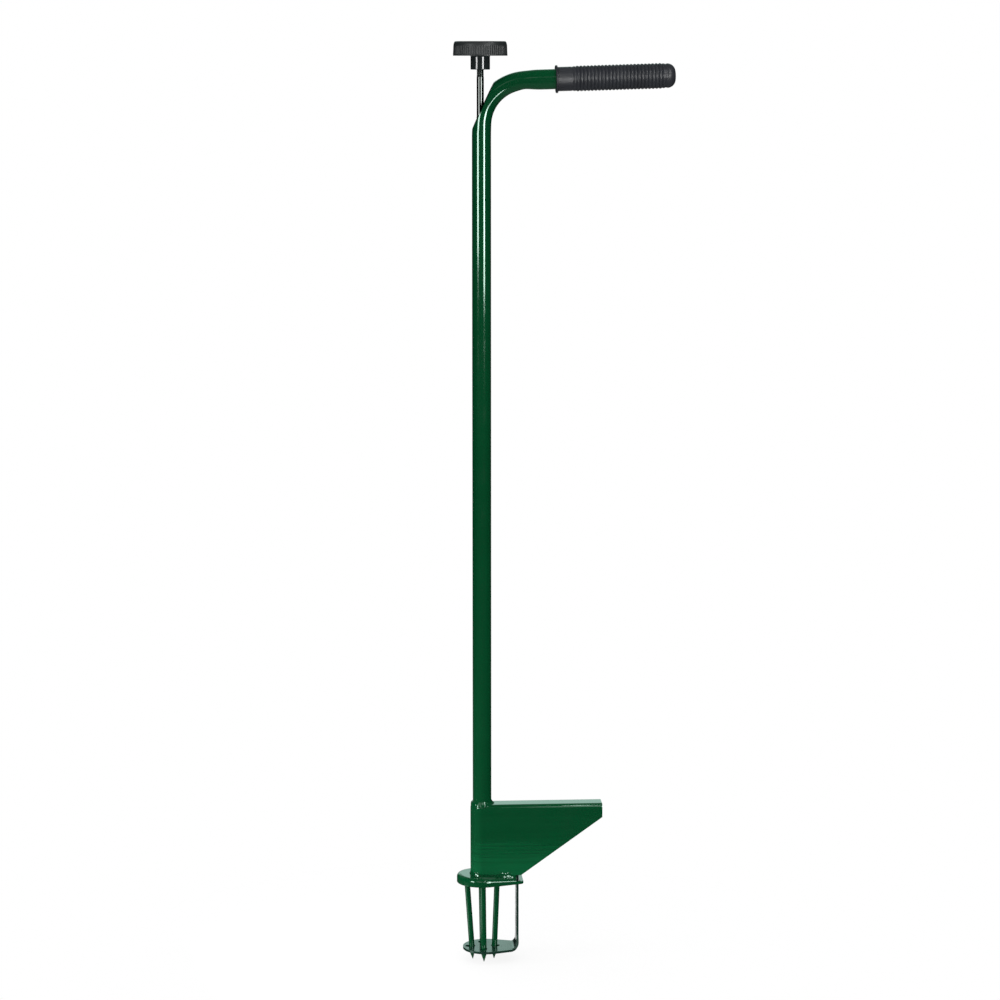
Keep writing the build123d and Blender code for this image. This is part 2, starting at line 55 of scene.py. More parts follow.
TUBE_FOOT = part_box("main_tube")[0].z
PEDAL_LOW, PEDAL_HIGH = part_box("foot_pedal")
PLATE_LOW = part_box("tine_plate")[0]
KNOB_LOW, KNOB_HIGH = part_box("plunger_knob")
ROD_LOW, ROD_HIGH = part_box("plunger_rod")
PLUNGER_X = (ROD_LOW.x + ROD_HIGH.x) / 2
ROD_RADIUS = (ROD_HIGH.x - ROD_LOW.x) / 2
DISC_HEIGHT = 0.0151  # thickness of the knob's disc
DISC_LOW = KNOB_HIGH.z - DISC_HEIGHT
THREAD_LOW = KNOB_LOW.z - 0.0074  # lower end of the bare thread under the knob
SNUG = 0.00005  # gap between the tube and the pieces that fit round it
SAME_PLACE = 1e-7  # points that round to the same step of this size are merged
TINES = ("front", "back", "left", "right")


def number(name, words, default, unit="NONE"):
    """A number that a user may change."""
    return bpy.props.FloatProperty(
        name=name, description=words, default=default, unit=unit, precision=5
    )


def length(name, words, default):
    """A length that a user may change, in metres."""
    return number(name, words, default, "LENGTH")


def degrees(name, words, default):
    """An angle that a user may change, with its default in degrees."""
    return number(name, words, math.radians(default), "ROTATION")


def colour(name, words, default):
    """A colour that a user may change, as linear red, green and blue."""
    return bpy.props.FloatVectorProperty(
        name=name, description=words, default=default, subtype="COLOR", size=3, min=0.0, max=1.0
    )


class WeedPullerSizes(bpy.types.PropertyGroup):
    """Sizes of the pieces that are rebuilt as smooth surfaces."""

    tube_diameter: length("Tube", "Outside diameter of the tube", 0.020)
    tube_wall: length("Tube wall", "Wall of the tube", 0.0015)
    bend_height: length("Bend height", "Height of the centre that the bend turns about", 0.8983)
    bend_radius: length("Bend radius", "Radius of the tube's centre line in the bend", 0.0465)
    arm_rise: degrees("Arm rise", "Slope of the handle arm", 1.8)
    arm_length: length("Arm length", "Straight length of the arm after the bend", 0.151)
    flat_drop: length("Flat drop", "How far below the bend's centre the flat starts", 0.0048)
    flat_lean: degrees("Flat lean", "Lean of the pressed flat from upright", 25.0)
    rod_hole_gap: length("Rod hole gap", "Gap round the rod where it passes the flat", 0.0007)
    grip_start: length("Grip start", "Distance of the grip's mouth from the bend's end", 0.0324)
    grip_pitch: length("Rib pitch", "Distance from rib to rib on the grip", 0.00376)
    knob_ribs: bpy.props.IntProperty(
        name="Knob ribs", description="Ribs round the knob's rim", default=66
    )
    thread_pitch: length("Thread pitch", "Pitch of the rod's thread", 0.00125)
    pedal_sheet: length("Pedal sheet", "Thickness of the folded pedal sheet", 0.0025)
    pedal_fold: length("Pedal fold", "Outside radius of the pedal's folds", 0.0045)
    pedal_nose: length("Pedal nose", "Height of the pedal's free end", 0.0147)
    pedal_heel: length("Pedal heel", "Reach of the pedal's foot on the tine plate", 0.04145)
    plate_slope: degrees("Plate slope", "Fall of the tine plate's top along X", 3.4)
    tine_diameter: length("Tine", "Diameter of the tines", 0.006)
    tine_point: length("Tine point", "Length of the tines' conical points", 0.0085)


class WeedPullerFinishes(bpy.types.PropertyGroup):
    """Colours of the finishes."""

    green: colour("Green", "Powder coat of the frame", (0.0010, 0.051, 0.0155))
    green_light: colour("Light green", "Paler patches of the coat", (0.0014, 0.060, 0.0190))
    # Painted bounce light: this paler green, mixed in towards the pedal's foot, stands in for light
    # thrown up from the floor.
    green_painted_bounce: colour("Pale green", "Thin coat at the pedal's foot", (0.0024, 0.0900, 0.0295))
    gloss_tint: colour("Gloss tint", "Tint of what the coat mirrors", (0.72, 1.0, 0.87))
    # Painted shade: a darker copy of the frame's green for the ejector, which lies in shade under
    # the tine plate; the coat's duller gloss is its own.
    green_painted_shade: colour("Dark green", "Duller coat of the ejector", (0.0035, 0.020, 0.0125))
    grip: colour("Grip", "Rubber of the handle grip", (0.0240, 0.0265, 0.0325))
    knob: colour("Knob", "Plastic of the push knob", (0.0180, 0.0230, 0.0240))
    chrome: colour("Chrome", "Plated plunger rod", (0.085, 0.094, 0.089))
    thread: colour("Thread", "Oily thread under the knob", (0.105, 0.125, 0.115))
    zinc: colour("Zinc", "Plated nuts, screws and arm", (0.56, 0.57, 0.58))
    brass: colour("Brass", "Threaded insert", (0.70, 0.48, 0.20))
    bush: colour("Bush", "Moulded guide bush", (0.05, 0.05, 0.055))


class WeedPullerStage(bpy.types.PropertyGroup):
    """Camera and light."""

    camera_place: bpy.props.FloatVectorProperty(
        name="Camera",
        description="Place of the camera",
        default=(-0.1947, -3.2234, 0.9799),
        subtype="TRANSLATION",
        unit="LENGTH",
    )
    camera_pitch: degrees("Pitch", "How far the camera looks down", 8.4)
    camera_yaw: degrees("Yaw", "How far the camera looks to the right", 3.8)
    camera_lens: number("Lens", "Focal length in millimetres", 110.64, "CAMERA")
    box_strength: number("Softboxes", "Radiance of the strip softboxes", 11.0)
    sky_strength: number("Room", "Soft light of the room", 1.0)


def grid_faces(rows, columns, closed):
    """Quads of a rows by columns grid of points; closed joins the last column to the first."""
    row = np.arange(rows - 1)[:, None] * columns
    column = np.arange(columns if closed else columns - 1)[None, :]
    after = (column + 1) % columns
    quads = [row + column, row + after, row + columns + after, row + columns + column]
    return np.stack(quads, -1).reshape(-1, 4)


def skin(points):
    """Points in closed rings, with the quads between the rings."""
    return points, grid_faces(points.shape[0], points.shape[1], closed=True)


def welded(points, quads):
    """Merge points that share a place and turn quads with a merged side into triangles."""
    keys = np.round(points / SAME_PLACE).astype(np.int64)
    _, first, place = np.unique(keys, axis=0, return_index=True, return_inverse=True)
    quads = place.reshape(-1)[quads]
    same = quads == np.roll(quads, -1, axis=1)
    count = same.sum(1)
    crossed = (quads[:, 0] == quads[:, 2]) | (quads[:, 1] == quads[:, 3])
    whole = quads[(count == 0) & ~crossed]
    part = (count == 1) & ~crossed
    triangles = quads[part][~same[part]].reshape(-1, 3)
    return points[first], whole, triangles


def make_piece(name, points, quads, crease=40.0):
    """A mesh object at the origin from points and quads, smooth except at creases in degrees."""
    points, whole, triangles = welded(points.reshape(-1, 3), quads)
    mesh = bpy.data.meshes.new(name)
    corners = np.concatenate([whole.reshape(-1), triangles.reshape(-1)]).astype(np.int32)
    totals = np.concatenate([np.full(len(whole), 4), np.full(len(triangles), 3)]).astype(np.int32)
    starts = np.concatenate([[0], np.cumsum(totals)[:-1]]).astype(np.int32)
    mesh.vertices.add(len(points))
    mesh.vertices.foreach_set("co", points.astype(np.float32).reshape(-1))
    mesh.loops.add(len(corners))
    mesh.loops.foreach_set("vertex_index", corners)
    mesh.polygons.add(len(totals))
    mesh.polygons.foreach_set("loop_start", starts)
    mesh.polygons.foreach_set("loop_total", totals)
    mesh.update(calc_edges=True)
    mesh.validate()
    mesh.polygons.foreach_set("use_smooth", np.ones(len(mesh.polygons), bool))
    mesh.set_sharp_from_angle(angle=math.radians(crease))
    piece = bpy.data.objects.new(name, mesh)
    bpy.context.scene.collection.objects.link(piece)
    return piece


def place_piece(piece, body, nodes, material):
    """Ride on a body, stand for CAD nodes and take a finish."""
    piece.data.materials.append(material)
    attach(piece, body)
    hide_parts(*nodes)


def smoothstep(x):
    """3 x squared less 2 x cubed, held at 0 and 1 outside the unit range."""
    x = np.clip(x, 0.0, 1.0)
    return x * x * (3.0 - 2.0 * x)


def full_turn(count):
    """Angles of a count of even steps round a circle."""
    return np.linspace(0.0, 2.0 * np.pi, count, endpoint=False)


def stations(stops, counts):
    """Places along a line from the first stop to the last, with its own count in each stretch."""
    runs = [np.linspace(*run, endpoint=False) for run in zip(stops, stops[1:], counts)]
    runs[-1] = np.linspace(stops[-2], stops[-1], counts[-1])
    return np.concatenate(runs)


def lathed(r, z, turn, x=0.0, y=0.0):
    """Points at radius r and height z round an upright line at x and y, a column for each turn."""
    return np.stack([x + r * np.cos(turn), y + r * np.sin(turn), np.broadcast_to(z, r.shape)], -1)


def turned(profile, columns, origin, axis, side):
    """Surface of revolution: each profile point, a distance along the axis and a radius, is swept
    round the axis."""
    axis = np.asarray(axis, float)
    side = np.asarray(side, float)
    turn = full_turn(columns)
    ring = np.cos(turn)[:, None] * side + np.sin(turn)[:, None] * np.cross(axis, side)
    along = np.asarray(origin, float) + profile[:, :1] * axis
    return along[:, None, :] + profile[:, 1][:, None, None] * ring[None, :, :]


def rounded(corners, radii, steps=6):
    """A profile of straight runs whose corners are rounded: near a corner it is the quadratic
    blend of the corner and of a point on each run, at most just under half a run away."""
    corners = np.asarray(corners, float)
    middle = corners[1:-1]
    before = corners[:-2] - middle
    after = corners[2:] - middle
    near = np.linalg.norm(before, axis=1, keepdims=True)
    far = np.linalg.norm(after, axis=1, keepdims=True)
    cut = np.minimum(np.asarray(radii, float)[:, None], np.minimum(near, far) * 0.49)
    start = (middle + before / near * cut)[:, None]
    end = (middle + after / far * cut)[:, None]
    t = np.linspace(0.0, 1.0, steps)[None, :, None]
    arcs = (1 - t) ** 2 * start + 2 * t * (1 - t) * middle[:, None] + t**2 * end
    return np.concatenate([corners[:1], arcs.reshape(-1, 2), corners[-1:]])


def bend_facts(sizes):
    """The bend's turn, the arm's heading and the point where the arm begins."""
    turn = math.pi / 2 - sizes.arm_rise
    heading = np.array([math.sin(turn), 0.0, math.cos(turn)])
    arm_start = np.array([
        sizes.bend_radius * (1 - math.cos(turn)),
        0.0,
        sizes.bend_height + sizes.bend_radius * math.sin(turn),
    ])
    return turn, heading, arm_start


def tube_surface(sizes):
    """The bent tube: a closed section carried along the upright, the bend and the arm.

    The section is a circle on the upright. In the bend its outer half is squashed by three
    fortieths of the radius and the whole is widened by three hundredths. On the arm it is about a
    millimetre higher than wide. A dent, a bell curve along the path, lies on the inside where the
    bend ends.
    """
    turn = bend_facts(sizes)[0]
    radius = sizes.tube_diameter / 2
    upright = sizes.bend_height - TUBE_FOOT
    arc = sizes.bend_radius * turn
    margin = 0.030  # the close stations go on this far before and after the bend
    stops = [0.0, upright - margin, upright + arc + margin, upright + arc + sizes.arm_length]
    s = stations(stops, [60, 220, 40])
    angle = np.clip((s - upright) / sizes.bend_radius, 0.0, turn)
    extra = s - upright - sizes.bend_radius * angle
    zero = np.zeros_like(s)
    spoke = np.stack([-np.cos(angle), zero, np.sin(angle)], -1)
    ahead = np.stack([np.sin(angle), zero, np.cos(angle)], -1)
    pivot = np.array([sizes.bend_radius, 0.0, sizes.bend_height])
    centre = pivot + spoke * sizes.bend_radius + ahead * extra[:, None]
    past = s - upright - arc
    change = 0.018  # length over which the squash comes and goes
    squash = smoothstep((s - upright + 0.012) / change)
    squash = squash * (1 - smoothstep((past + 0.004) / change))
    oval = smoothstep((past + 0.020) / 0.030)
    half_broad = radius * (1 + 0.030 * squash)
    outer_side = radius * (1 - 0.075 * squash) + 0.0006 * oval
    inner_side = radius + 0.0003 * squash + 0.0004 * oval
    dent_depth, dent_place, dent_reach = 0.0011, 0.001, 0.009
    dent = dent_depth * np.exp(-((past - dent_place) / dent_reach) ** 2)
    phi = full_turn(144)
    inner = np.clip(-np.sin(phi), 0.0, 1.0) ** 2
    side = np.where(np.sin(phi) > 0, outer_side[:, None], inner_side[:, None])
    points = (
        centre[:, None, :]
        + (half_broad[:, None] * np.cos(phi))[:, :, None] * np.array([0.0, 1.0, 0.0])
        + (side * np.sin(phi) + dent[:, None] * inner)[:, :, None] * spoke[:, None, :]
    )
    return pressed_flat(sizes, points)


def pressed_flat(sizes, points):
    """Press a flat on the bend's outside and leave out the quads of a round hole for the rod.

    What lies beyond the flat's plane is moved back on to it along the plane's normal, with a soft
    edge. Points of the flat that lie close to the hole's rim are moved on to the rim.
    """
    edge, least_press, rim_reach, tiny = 0.00005, 0.0002, 0.00030, 1e-6
    nowhere = 1.0  # distance given to points off the flat, far outside the hole
    normal = np.array([-math.cos(sizes.flat_lean), 0.0, math.sin(sizes.flat_lean)])
    on_flat = np.array([-sizes.tube_diameter / 2, 0.0, sizes.bend_height - sizes.flat_drop])
    beyond = (points - on_flat) @ normal
    points = points - normal * ((np.sqrt(beyond**2 + edge**2) + beyond) / 2)[:, :, None]
    hole = ROD_RADIUS + sizes.rod_hole_gap
    across = points[:, :, :2] - np.array([PLUNGER_X, 0.0])
    far = np.linalg.norm(across, axis=2)
    flat = (beyond > least_press) & (points[:, :, 2] > on_flat[2])
    rim = flat & (np.abs(far - hole) < rim_reach)
    shift = across * (hole / np.maximum(far, tiny) - 1.0)[:, :, None] * rim[:, :, None]
    lift = -(shift @ normal[:2]) / normal[2]
    points, quads = skin(points + np.concatenate([shift, lift[:, :, None]], -1))
    far = np.where(flat, np.where(rim, hole, far), nowhere)
    inside = far.reshape(-1)[quads].mean(1) < hole - tiny
    return points, quads[~inside]


def grip_profile(sizes, bore):
    """Mouth with a flange, plain collar, round beads and a round closed end, as distance along the
    arm and radius. The beads are the size of a sine raised to a power, lower at both ends."""
    collar, flange, plain, valley = bore + 0.00255, bore + 0.00445, bore + 0.0025, bore + 0.0021
    bore_depth, flange_width, cap_radius, end_wall = 0.012, 0.0022, 0.0085, 0.00705
    start, step = 0.0170, 0.0002  # where the beads begin, and a small step
    end = sizes.arm_length - sizes.grip_start + SNUG + end_wall
    mouth = rounded(
        [
            (bore_depth, bore), (0.0, bore), (0.0, flange), (flange_width, flange),
            (flange_width, collar), (start, collar), (start + step, valley),
        ],
        [0.0004, 0.0007, 0.0007, 0.0006, 0.0004],
    )
    count = int((end - cap_radius - start) / sizes.grip_pitch)
    t = np.linspace(0.0, count, count * 12 + 1)
    wave = np.abs(np.sin(np.pi * t)) ** 0.7
    fade = smoothstep(t / 1.5) * smoothstep((count - t) / 1.5)
    along = start + 2 * step + t * sizes.grip_pitch
    beads = np.stack([along, valley + 0.00115 * wave * (0.45 + 0.55 * fade)], -1)
    angle = np.linspace(0.0, np.pi / 2, 14)
    cap = np.stack([
        end - cap_radius + cap_radius * np.sin(angle),
        plain + step - cap_radius * (1 - np.cos(angle)),
    ], -1)
    middle = np.array([[end + step, 0.0015], [end + step, 0.0]])
    return np.concatenate([mouth, beads, cap, middle])


def knob_surface(sizes):
    """Disc and hub turned about the rod. Between two heights the rim's radius is cut by fine
    grooves, the size of a sine of the turn raised to a power, and it narrows a little upwards."""
    low, high = KNOB_LOW.z, KNOB_HIGH.z
    rim = (KNOB_HIGH.x - KNOB_LOW.x) / 2
    hub, bore, recess = 0.0101, 0.0042, low + 0.001
    rib_low, rib_high, rows = DISC_LOW + 0.0010, high - 0.0042, 22
    profile = np.concatenate([
        np.array([[recess, 0.0], [recess, bore]]),
        rounded(
            [
                (recess, bore), (low, bore), (low, hub), (DISC_LOW, hub), (DISC_LOW, rim),
                (DISC_LOW + 0.0008, rim),
            ],
            [0.0003, 0.0007, 0.0012, 0.0006],
        ),
        np.stack([np.linspace(rib_low, rib_high, rows), np.full(rows, rim)], -1),
        rounded(
            [
                (high - 0.0040, rim), (high, rim - 0.0008), (high - 0.0004, rim - 0.0085),
                (high - 0.0009, 0.0),
            ],
            [0.0034, 0.0030],
            10,
        ),
    ])
    turn = full_turn(sizes.knob_ribs * 10)
    height = profile[:, 0]
    band = smoothstep((height - DISC_LOW - 0.0006) / 0.0008)
    band = band * (1 - smoothstep((height - high + 0.0052) / 0.0012))
    draft = 0.0007 * np.clip((height - DISC_LOW) / DISC_HEIGHT, 0.0, 1.0)
    groove = (np.abs(np.sin(turn * sizes.knob_ribs / 2)) ** 0.6 - 1.0) * 0.0006
    outer = (profile[:, 1] > rim - 0.004).astype(float)
    radius = profile[:, 1:] - (draft * outer)[:, None] + (band * outer)[:, None] * groove[None, :]
    return skin(lathed(radius, height[:, None], turn, PLUNGER_X))


def rod_surface(sizes):
    """Round rod with a thread at each end: there a rounded triangle wave, of the height over the
    pitch less the turn, is taken off the radius. The lower end is tapered."""
    low, high = ROD_LOW.z, ROD_HIGH.z
    foot = low + 0.0180  # upper end of the lower thread
    run_out, depth, taper_depth, taper_length = 0.0006, 0.00040, 0.0006, 0.0012
    z = stations([low, foot, THREAD_LOW - run_out, high], [190, 60, 240])
    turn = full_turn(72)
    plain = smoothstep((z - foot + run_out) / run_out)
    cut = 1 - plain * (1 - smoothstep((z - THREAD_LOW + 0.0002) / run_out))
    wind = z[:, None] / sizes.thread_pitch - turn[None, :] / (2 * np.pi)
    tooth = np.abs((wind % 1.0) * 2.0 - 1.0)
    taper = taper_depth * (1 - smoothstep((z - low) / taper_length))
    r = ROD_RADIUS - depth * cut[:, None] * smoothstep(tooth) - taper[:, None]
    middle = np.zeros((1, len(turn)))
    r = np.concatenate([middle, r, middle])
    z = np.concatenate([[low], z, [high]])
    return skin(lathed(r, z[:, None], turn, PLUNGER_X))


def pedal_surface(sizes):
    """Outside of the folded pedal sheet, half of it mirrored.

    The plan line runs along the front side and a quarter round the tube. At each of its stations
    the sheet goes straight up from its lower edge, turns inwards on a quarter arc and runs flat to
    the middle line or to the edge of the tube's hole. The lower edge is the tine plate or the
    slanted line, whichever is higher.
    """
    top, low = PEDAL_HIGH.z, PEDAL_LOW.z
    reach, wide, fold, heel = PEDAL_HIGH.x, PEDAL_HIGH.y, sizes.pedal_fold, sizes.pedal_heel
    hole = sizes.tube_diameter / 2 + SNUG
    side_x = stations([reach, heel, hole, 0.0], [90, 30, 20])
    quarter = np.linspace(0.0, np.pi / 2, 40)[1:]
    out_x = np.concatenate([np.zeros(len(side_x)), -np.sin(quarter)])
    out_y = np.concatenate([np.full(len(side_x), -1.0), -np.cos(quarter)])
    x = np.concatenate([side_x, -wide * np.sin(quarter)])
    y = wide * out_y
    slant = low + (top - sizes.pedal_nose - low) * (x - heel) / (reach - heel)
    bottom = np.maximum(low, np.where(x > heel, slant, low))
    hole_y = np.sqrt(np.maximum(hole**2 - np.maximum(x, 0.0) ** 2, 0.0))
    last = wide - hole_y
    bent = np.minimum(last, fold)
    rise = np.linspace(0.0, 1.0, 60)[:, None]
    bend = np.linspace(0.0, 1.0, 14)[1:, None]
    flat = np.linspace(0.0, 1.0, 8)[1:, None]
    most = np.arccos(np.clip(1 - bent / fold, -1.0, 1.0))
    walls_z = bottom + (top - fold - bottom) * rise
    bends = most * bend
    runs = bent + (last - bent) * flat
    runs_z = np.broadcast_to(top - fold + fold * np.sin(most), runs.shape)
    inset = np.concatenate([np.zeros_like(walls_z), fold * (1 - np.cos(bends)), runs])
    z = np.concatenate([walls_z, top - fold + fold * np.sin(bends), runs_z])
    front = np.stack([x - out_x * inset, y - out_y * inset, z], -1)
    back = front * np.array([1.0, -1.0, 1.0])
    quads = grid_faces(front.shape[0], front.shape[1], closed=False)
    points = np.concatenate([front.reshape(-1, 3), back.reshape(-1, 3)])
    return points, np.concatenate([quads[:, ::-1], quads + z.size])


def lumps(along, seed):
    """Uneven height of a hand-run bead, about -1 to 1: a sum of sines whose rates and starts are
    drawn from a seed."""
    pick = np.random.default_rng(seed)
    rates = pick.uniform(0.5, 5.0, 6)
    starts = pick.uniform(0.0, 2.0 * np.pi, 6)
    return np.sin(along[..., None] * rates + starts).sum(-1) / 3.2


def tube_weld_surface(sizes):
    """Bead round the tube: a fillet from the tube down to the tread, or over the shoulder behind.

    It is a straight slope plus half a sine wave of fullness. The fullness is greatest behind, and
    below nothing, so that the fillet is hollow, at the front and on the tread's side.
    """
    top = PEDAL_HIGH.z
    radius = sizes.tube_diameter / 2
    bite, sunk = 0.0002, 0.0006  # how far the bead goes into the tube and into the pedal
    toe, narrower, shoulder = 0.0033, 0.0009, 0.0024  # width, what it loses behind and drop there
    rise, higher = 0.0030, 0.0016  # height, and what it gains on the tread's side
    turn = full_turn(360)
    behind = (1 - np.cos(turn)) / 2
    tread_side = (1 - behind) ** 3
    facing = np.clip(-np.sin(turn), 0.0, 1.0) ** 2
    wobble = lumps(turn * 3.0, seed=3)
    wobble = (wobble + np.roll(wobble, 120)) * 0.2
    ripple = np.sin(turn * 7 + 1.8 * np.sin(turn * 3)) ** 2
    edge_r = radius + toe - narrower * behind + 0.0004 * wobble
    edge_z = top - bite - shoulder * behind
    crest = top + rise + higher * tread_side + 0.0009 * wobble
    fullness = 0.0002 + 0.0012 * behind**4 - 0.0004 * facing - 0.0007 * tread_side
    v = np.linspace(0.0, 1.0, 16)[:, None]
    bulge = np.sin(np.pi * v) * (fullness + 0.00015 * ripple + 0.0002 * wobble)
    r = edge_r + (radius - bite - edge_r) * v + 0.75 * bulge
    z = edge_z + (crest - edge_z) * v + 0.65 * bulge
    under = (edge_z - sunk)[None]
    r = np.concatenate([np.full((1, len(turn)), radius - bite), (edge_r - sunk)[None], r])
    z = np.concatenate([under, under, z])
    return skin(lathed(r, z, turn))


def pedal_weld_surface(sizes):
    """Bead along the pedal's foot: a slim fillet from the pedal's side down to the tine plate that
    swells into uneven drops at two corners.

    Its toe follows the plate's top, a plane that falls along X; its upper edge is level. The drops
    are squared products of sines along the bead and up its side, inside two bell curves of X.
    """
    wide = PEDAL_HIGH.y
    reach, sunk, bite = 0.0338, 0.0008, 0.0004
    fall_start = -0.020  # the X at which the plate's top is level with the pedal's lower edge
    millimetre, run_out = 0.001, 5.0  # unit of the way along the bead, and its ends' fade in it
    slim, swell, upright, uneven = 0.0009, 0.0016, 0.0041, 0.0007
    corners = ((0.7, -0.009, 0.005), (1.0, 0.025, 0.006))  # share, place along X and spread
    run = np.linspace(reach, 0.0, 120, endpoint=False)
    around = np.linspace(-np.pi / 2, -3 * np.pi / 2, 200)
    x = np.concatenate([run, wide * np.cos(around), run[::-1]])
    y = np.concatenate([np.full(len(run), -wide), wide * np.sin(around), np.full(len(run), wide)])
    out = np.concatenate([
        np.broadcast_to([0.0, -1.0], (len(run), 2)),
        np.stack([np.cos(around), np.sin(around)], -1),
        np.broadcast_to([0.0, 1.0], (len(run), 2)),
    ])
    base = PEDAL_LOW.z - math.tan(sizes.plate_slope) * (x - fall_start)
    step = np.hypot(np.diff(x, prepend=x[0]), np.diff(y, prepend=y[0]))
    along = np.cumsum(step) / millimetre
    ends = smoothstep(along / run_out) * smoothstep((along[-1] - along) / run_out)
    bells = [share * np.exp(-((x - place) / spread) ** 2) for share, place, spread in corners]
    ragged = np.clip(0.6 * sum(bells), 0.0, 1.0)
    wobble = lumps(along / 3.0, seed=11) * ragged
    height = PEDAL_LOW.z - base + upright + uneven * wobble
    width = slim + swell * ragged
    v = np.linspace(0.0, 1.0, 30)[:, None]
    drops = (np.sin(along * 0.95 + 1.6 * (v > 0.5)) * np.sin(2 * np.pi * v)) ** 2 * ragged
    fullness = -0.0002 + 0.0003 * ragged + 0.0003 * wobble
    bulge = np.sin(np.pi * v) * fullness + 0.0007 * drops
    push = (width * (1 - v) - 0.0003 * v + bulge) * (0.55 + 0.45 * ends)
    z = base - sunk + ((height + 0.0005) * v + 0.4 * bulge) * (0.5 + 0.5 * ends)
    inwards = np.full((1, len(x)), -bite)
    push = np.concatenate([inwards, push, inwards])
    z = np.concatenate([(base - sunk)[None], z, z[-1:]])
    points = np.stack([x + out[:, 0] * push, y + out[:, 1] * push, z], -1)
    quads = grid_faces(len(z), len(x), closed=False)
    rows = np.arange(len(z)) * len(x)
    first = np.zeros_like(rows[2:])
    near_cap = np.stack([first, rows[1:-1], rows[2:], first], -1)
    far_cap = np.stack([first, rows[2:], rows[1:-1], first], -1) + len(x) - 1
    return points, np.concatenate([quads[:, ::-1], near_cap, far_cap])


def tine_line(node):
    """Tip and root of a tine's centre line, from the CAD node's lowest and highest points."""
    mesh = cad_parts[node].data
    points = np.zeros(len(mesh.vertices) * 3, np.float32)
    mesh.vertices.foreach_get("co", points)
    points = points.reshape(-1, 3).astype(float)
    touch, tip_height = 1e-5, 0.0002
    high = points[points[:, 2] > PLATE_LOW.z - touch]
    tip = points[points[:, 2] < tip_height].mean(0)
    root = (high.min(0) + high.max(0)) / 2
    return tip, root


def tine_surface(sizes, tip, root):
    """Leaning round bar: a blunt cone and a cylinder about the line from tip to root, ended on the
    plate's underside."""
    reach = np.linalg.norm(root - tip)
    axis = (root - tip) / reach
    side = np.cross(axis, [0.0, 1.0, 0.0])
    side = side / np.linalg.norm(side)
    radius, point, blunt = sizes.tine_diameter / 2, sizes.tine_point, 0.0003
    cone, bar_rows = np.linspace(0.06, 0.94, 14), 40
    profile = np.concatenate([
        np.array([[0.0, 0.0], [0.0, blunt], [0.0004, 2 * blunt]]),
        np.stack([cone * point, blunt + (radius - blunt) * cone], -1),
        np.array([[point * 0.985, radius * 0.988], [point * 1.05, radius]]),
        np.stack([np.linspace(point * 1.3, reach, bar_rows), np.full(bar_rows, radius)], -1),
    ])
    points = turned(profile, columns=40, origin=tip, axis=axis, side=side)
    slide = (PLATE_LOW.z - points[-1, :, 2]) / axis[2]
    points[-1] += slide[:, None] * axis
    return skin(points)


def tine_weld_surface(sizes, root, seed):
    """Bead round a tine's root: a fillet from the plate's underside down to the tine, a straight
    slope plus half a sine wave, with uneven lumps."""
    radius = sizes.tine_diameter / 2
    top = PLATE_LOW.z + 0.0001
    width, height = 0.0023, 0.0027
    turn = full_turn(96)
    wobble = lumps(turn * 2.0, seed) * np.sin(turn / 2) ** 2
    v = np.linspace(0.0, 1.0, 10)[:, None]
    bulge = np.sin(np.pi * v) * (0.0003 + 0.0002 * wobble)
    r = radius - 0.0002 + (width + 0.0004 * wobble) * v + bulge
    z = top - (height + 0.0005 * wobble) * (1 - v) - bulge
    inside = np.full((1, len(turn)), radius - 0.0004)
    r = np.concatenate([inside, r, inside])
    z = np.concatenate([z[:1], z, np.full((1, len(turn)), top)])
    return skin(lathed(r, z, turn, root[0], root[1]))


def new_finish(name):
    """A node material, its shader and its object coordinates."""
    material = bpy.data.materials.new(name)
    material.use_nodes = True
    nodes = material.node_tree.nodes
    return material, nodes["Principled BSDF"], nodes.new("ShaderNodeTexCoord").outputs["Object"]


def new_node(socket, kind):
    """A new node in the node tree that a socket belongs to."""
    return socket.id_data.nodes.new("ShaderNode" + kind)


def feed(value, socket):
    """Link a value to a socket, or set the socket where the value is a plain number or colour."""
    if isinstance(value, bpy.types.NodeSocket):
        socket.id_data.links.new(value, socket)
    else:
        socket.default_value = value


def axes(vector):
    """The X, Y and Z of a vector."""
    split = new_node(vector, "SeparateXYZ")
    feed(vector, split.inputs["Vector"])
    return [split.outputs[name] for name in "XYZ"]


def calc(operation, first, second=None):
    """The result of a math node on one or two values."""
    node = new_node(first, "Math")
    node.operation = operation
    feed(first, node.inputs[0])
    if second is not None:
        feed(second, node.inputs[1])
    return node.outputs["Value"]


def noise(place, scale, detail, stretch=(1.0, 1.0, 1.0)):
    """Value of a noise texture on coordinates that are stretched by a mapping."""
    mapping, texture = new_node(place, "Mapping"), new_node(place, "TexNoise")
    mapping.inputs["Scale"].default_value = stretch
    texture.inputs["Scale"].default_value = scale
    texture.inputs["Detail"].default_value = detail
    feed(place, mapping.inputs["Vector"])
    feed(mapping.outputs["Vector"], texture.inputs["Vector"])
    return texture.outputs["Fac"]


def between(value, low, high, start=0.3, end=0.7):
    """Map a value from the range start to end on to the range low to high, and hold it there."""
    span = new_node(value, "MapRange")
    bounds = {"From Min": start, "From Max": end, "To Min": low, "To Max": high}
    for name, bound in bounds.items():
        span.inputs[name].default_value = bound
    feed(value, span.inputs["Value"])
    return span.outputs["Result"]


def two_tone(value, dark, light, start=0.3, end=0.7):
    """A colour ramp between two colours."""
    ramp = new_node(value, "ValToRGB")
    for stop, place, tone in zip(ramp.color_ramp.elements, (start, end), (dark, light)):
        stop.position, stop.color = place, (*tone, 1.0)
    feed(value, ramp.inputs["Fac"])
    return ramp.outputs["Color"]


def mixed(factor, first, second, kind="MIX"):
    """A colour mixed from two by a factor."""
    mix = new_node(factor, "Mix")
    mix.data_type, mix.blend_type = "RGBA", kind
    first_colour, second_colour, result = 6, 7, 2  # their names are shared with other sockets
    feed(factor, mix.inputs["Factor"])
    feed(first, mix.inputs[first_colour])
    feed(second, mix.inputs[second_colour])
    return mix.outputs[result]


